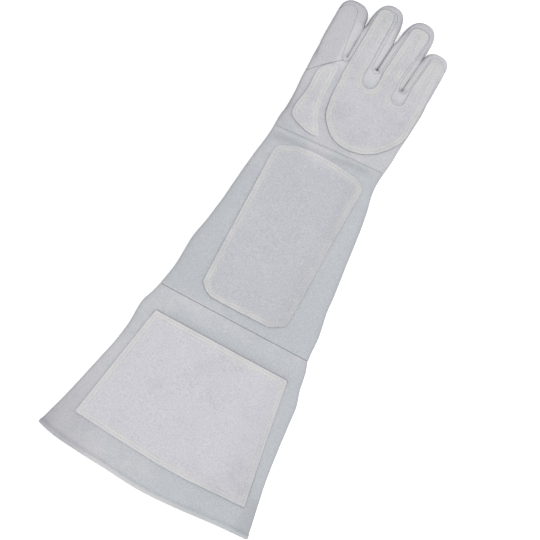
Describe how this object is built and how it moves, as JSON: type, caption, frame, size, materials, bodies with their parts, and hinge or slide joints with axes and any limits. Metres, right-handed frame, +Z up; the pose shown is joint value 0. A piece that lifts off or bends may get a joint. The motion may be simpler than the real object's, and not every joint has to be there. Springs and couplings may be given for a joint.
{
  "type": "animal handling glove",
  "caption": "Elbow-length right-hand gauntlet of split leather with a flared cuff and sewn-on patches on hand, forearm and cuff, lying palm down.",
  "frame": {"origin": "on the surface that the glove lies on, under the middle of its bounding box", "axes": "+Y from the cuff mouth to the fingertips, +X to the little finger side, +Z up, away from the surface"},
  "size_m": [0.266, 0.6018, 0.0454],
  "materials": {
    "shell_leather": "pale blue-grey split suede with a short nap",
    "patch_leather": "slightly paler, warmer grey split suede",
    "thread": "off-white sewing thread"
  },
  "bodies": {
    "root": {"cuff_top_panel": "shell_leather", "cuff_under_panel": "shell_leather", "cuff_hem": "shell_leather", "forearm_top_panel": "shell_leather", "forearm_under_panel": "shell_leather", "wrist_welt": "shell_leather", "hand_back": "shell_leather", "index_back": "shell_leather", "fourchette_index_middle": "shell_leather", "fourchette_middle_ring": "shell_leather", "fourchette_ring_little": "shell_leather", "palm": "shell_leather", "thumb_inner": "shell_leather", "thumb_outer": "shell_leather", "hand_patch": "patch_leather", "side_patch": "patch_leather", "forearm_patch": "patch_leather", "cuff_patch": "patch_leather"}
  },
  "joints": []
}
